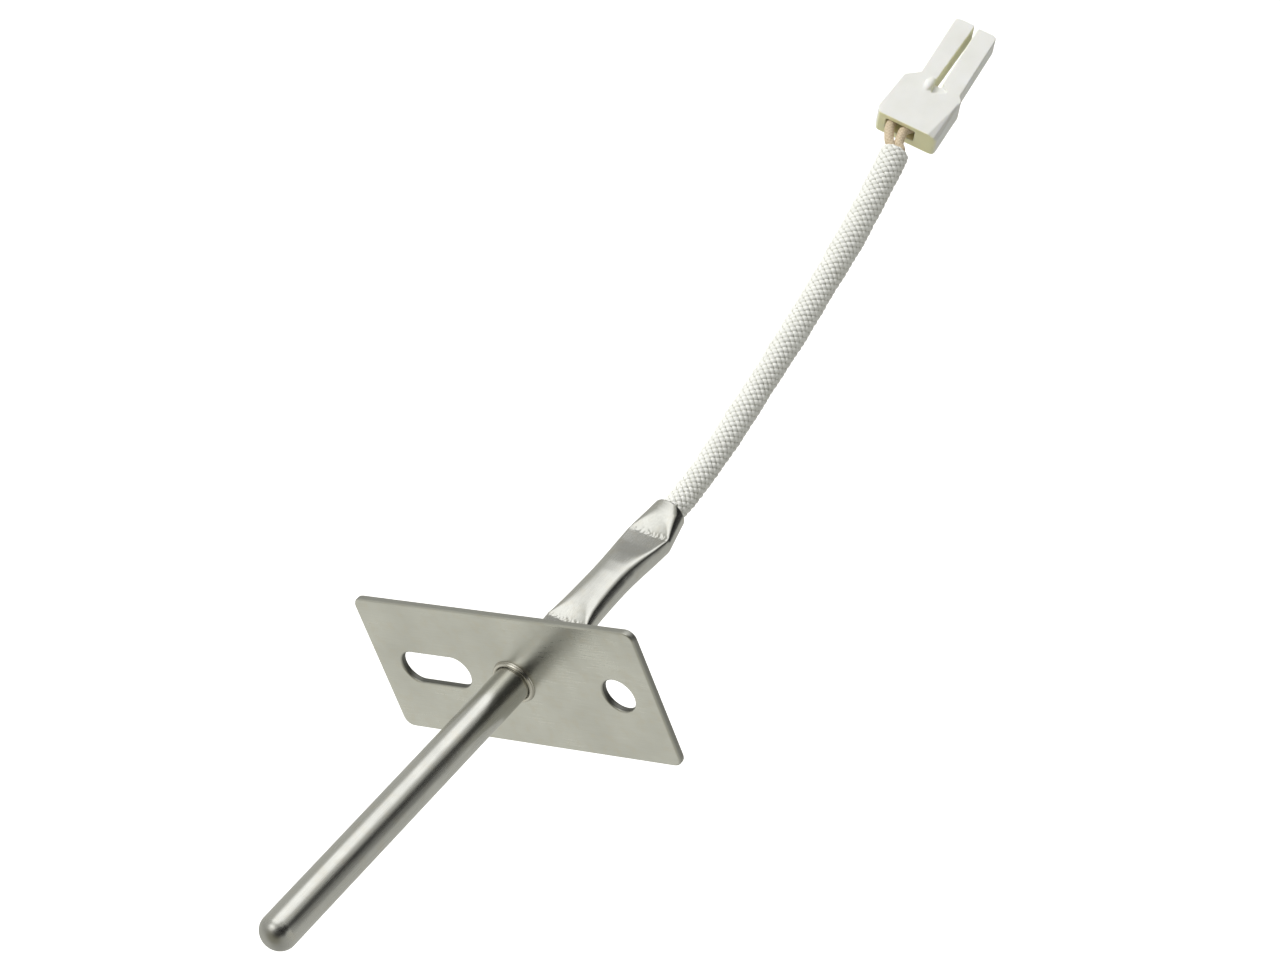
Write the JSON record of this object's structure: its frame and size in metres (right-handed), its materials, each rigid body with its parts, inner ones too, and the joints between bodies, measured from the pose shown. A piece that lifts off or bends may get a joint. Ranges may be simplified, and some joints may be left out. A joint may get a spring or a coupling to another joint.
{
  "type": "oven temperature probe",
  "caption": "Steel-sheathed resistance temperature probe on a slotted flange, with a short braided lead that ends in a plug.",
  "frame": {"origin": "on the sheath's axis, in the plane of the flange's back face, where the panel that holds the probe ends", "axes": "+Z along the sheath towards its closed tip, +X along the flange towards its slot, the round hole on -X, the lead hanging towards -Z and leaning to -Y"},
  "size_m": [0.056, 0.0401, 0.2143],
  "materials": {
    "sheath_steel": "satin drawn tube",
    "plate_steel": "dull rolled sheet, lightly scuffed",
    "collar_steel": "satin",
    "alumina": "fired ceramic, matte",
    "cement": "dry ceramic cement",
    "nickel": "plain nickel",
    "glass_braid": "white glass-fibre braid",
    "wire_cover": "tan varnished glass-fibre cover",
    "nylon": "moulded, slightly waxy",
    "contact_brass": "stamped and rolled"
  },
  "bodies": {
    "root": {"sheath_tube": "sheath_steel", "flange_plate": "plate_steel", "press_collar": "collar_steel", "tip_cement": "cement", "sensor_chip": "alumina", "chip_lead_a": "nickel", "chip_lead_b": "nickel", "ceramic_insulator": "alumina", "splice_ferrule_a": "nickel", "splice_ferrule_b": "nickel", "splice_cover": "glass_braid", "probe_conductor_a": "nickel", "probe_conductor_b": "nickel", "probe_wire_a": "wire_cover", "probe_wire_b": "wire_cover", "tucked_sleeve_end": "glass_braid", "braided_sleeve": "glass_braid", "plug_wire_a": "wire_cover", "plug_wire_b": "wire_cover", "plug_conductor_a": "nickel", "plug_conductor_b": "nickel", "plug_housing": "nylon", "contact_a": "contact_brass", "contact_b": "contact_brass"}
  },
  "joints": []
}
